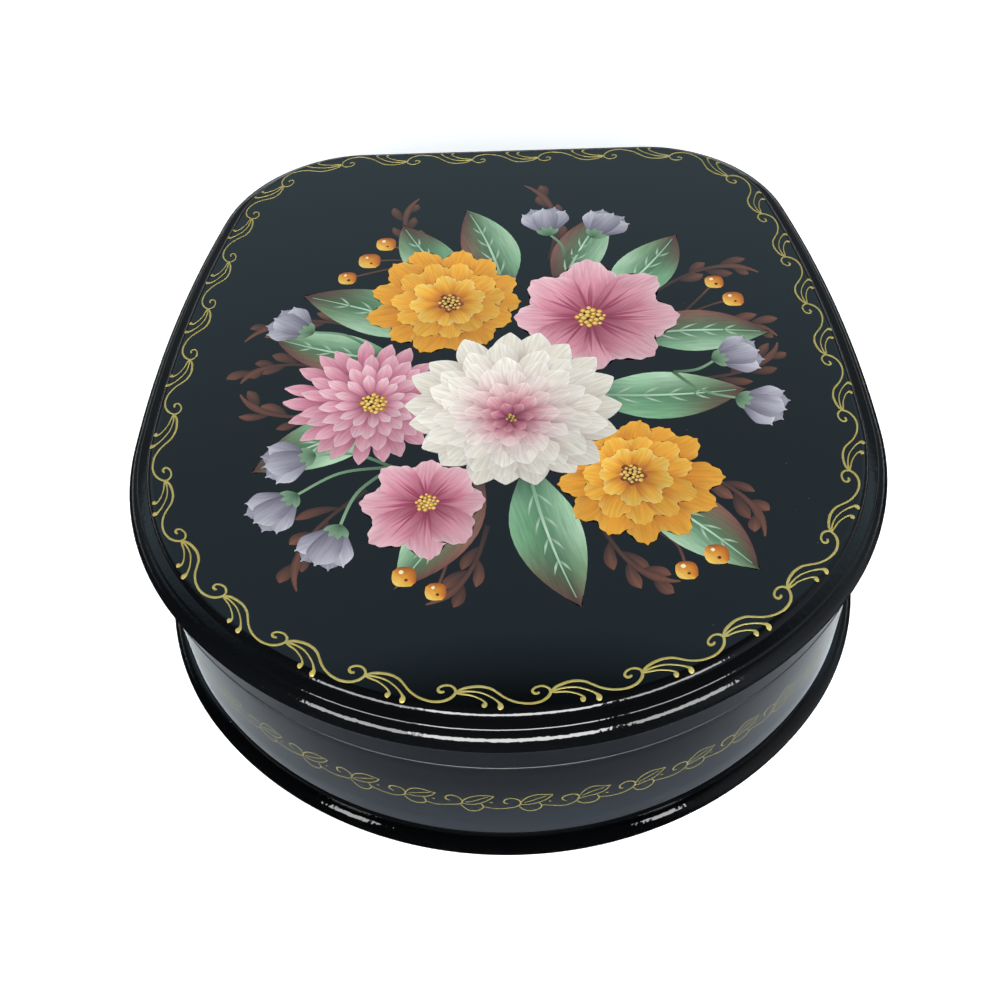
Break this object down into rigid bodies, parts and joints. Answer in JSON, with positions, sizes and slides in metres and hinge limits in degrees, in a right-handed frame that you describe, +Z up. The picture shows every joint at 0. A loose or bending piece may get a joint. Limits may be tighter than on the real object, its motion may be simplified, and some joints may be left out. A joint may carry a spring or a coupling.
{
  "type": "trinket box",
  "caption": "Low D-shaped lacquered box with a hinged flat lid, moulded lid edge, locating lip inside and a round-nosed base board, for keeping trinkets.",
  "frame": {"origin": "centre of the outer box on the surface it stands on", "axes": "+Z up, +Y towards the hinged back, +X to the right seen from the front"},
  "size_m": [0.13, 0.145, 0.041],
  "materials": {
    "black_lacquer": "gloss lacquer over wood",
    "red_lacquer": "satin lacquer over thin board",
    "brass": "polished"
  },
  "bodies": {
    "box": {"base_board": "black_lacquer", "floor_lining": "red_lacquer", "body_wall": "black_lacquer", "wall_lining": "red_lacquer", "hinge_body_leaf_left": "brass", "hinge_body_leaf_right": "brass", "hinge_pin_left": "brass", "hinge_pin_right": "brass", "hinge_body_screws": "brass"},
    "lid": {"lid_rim": "black_lacquer", "lid_board": "black_lacquer", "lid_lining": "red_lacquer", "hinge_lid_leaf_left": "brass", "hinge_lid_leaf_right": "brass", "hinge_lid_screws": "brass"}
  },
  "joints": [
    {"name": "lid_hinge", "type": "hinge", "parent": "box", "child": "lid", "pos_m": [0, 0.07034, 0.0286], "axis": [-1, 0, 0], "range_deg": [0, 100]}
  ]
}
